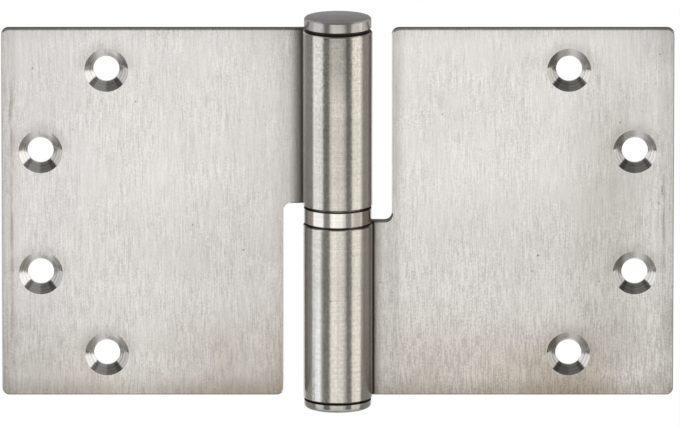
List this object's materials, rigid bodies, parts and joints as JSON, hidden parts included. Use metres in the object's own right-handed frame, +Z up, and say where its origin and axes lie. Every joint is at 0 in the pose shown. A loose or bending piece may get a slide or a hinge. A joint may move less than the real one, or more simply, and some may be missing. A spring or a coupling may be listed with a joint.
{
  "type": "lift-off ball bearing butt hinge",
  "caption": "Wide steel butt hinge with rolled knuckles, a caged ball bearing between them and countersunk leaves; the upper leaf swings on the pin and lifts off it.",
  "frame": {"origin": "on the pin axis, midway up the leaves and the bearing", "axes": "+X towards the leaf that stays on the frame, +Y towards the backs of the leaves, +Z up the pin, the way the upper leaf lifts off"},
  "size_m": [0.16, 0.0164, 0.0946],
  "materials": {
    "leaf_steel": "satin",
    "cap_steel": "satin",
    "pin_steel": "satin",
    "shell_steel": "polished",
    "race_steel": "satin",
    "ball_steel": "polished",
    "cage_brass": "satin"
  },
  "bodies": {
    "frame_leaf": {"right_leaf": "leaf_steel", "hinge_pin": "pin_steel", "bottom_cap": "cap_steel", "lower_race": "race_steel", "bearing_shell": "shell_steel"},
    "turning_race": {"upper_race": "race_steel"},
    "door_leaf": {"left_leaf": "leaf_steel", "top_cap": "cap_steel"},
    "ball_ring": {"ball_cage": "cage_brass", "ball_01": "ball_steel", "ball_02": "ball_steel", "ball_03": "ball_steel", "ball_04": "ball_steel", "ball_05": "ball_steel", "ball_06": "ball_steel", "ball_07": "ball_steel", "ball_08": "ball_steel", "ball_09": "ball_steel", "ball_10": "ball_steel", "ball_11": "ball_steel"}
  },
  "joints": [
    {"name": "leaf_swing", "type": "hinge", "parent": "frame_leaf", "child": "turning_race", "pos_m": [0, 0, 0], "axis": [0, 0, 1], "range_deg": [-135, 180]},
    {"name": "leaf_lift_off", "type": "slide", "parent": "turning_race", "child": "door_leaf", "axis": [0, 0, 1], "range_m": [0, 0.04]},
    {"name": "ball_roll", "type": "hinge", "parent": "frame_leaf", "child": "ball_ring", "pos_m": [0, 0, 0], "axis": [0, 0, 1], "range_deg": [-67.5, 90]}
  ],
  "couplings": [
    {"joint": "ball_roll", "follows": "leaf_swing", "ratio": 0.5}
  ]
}
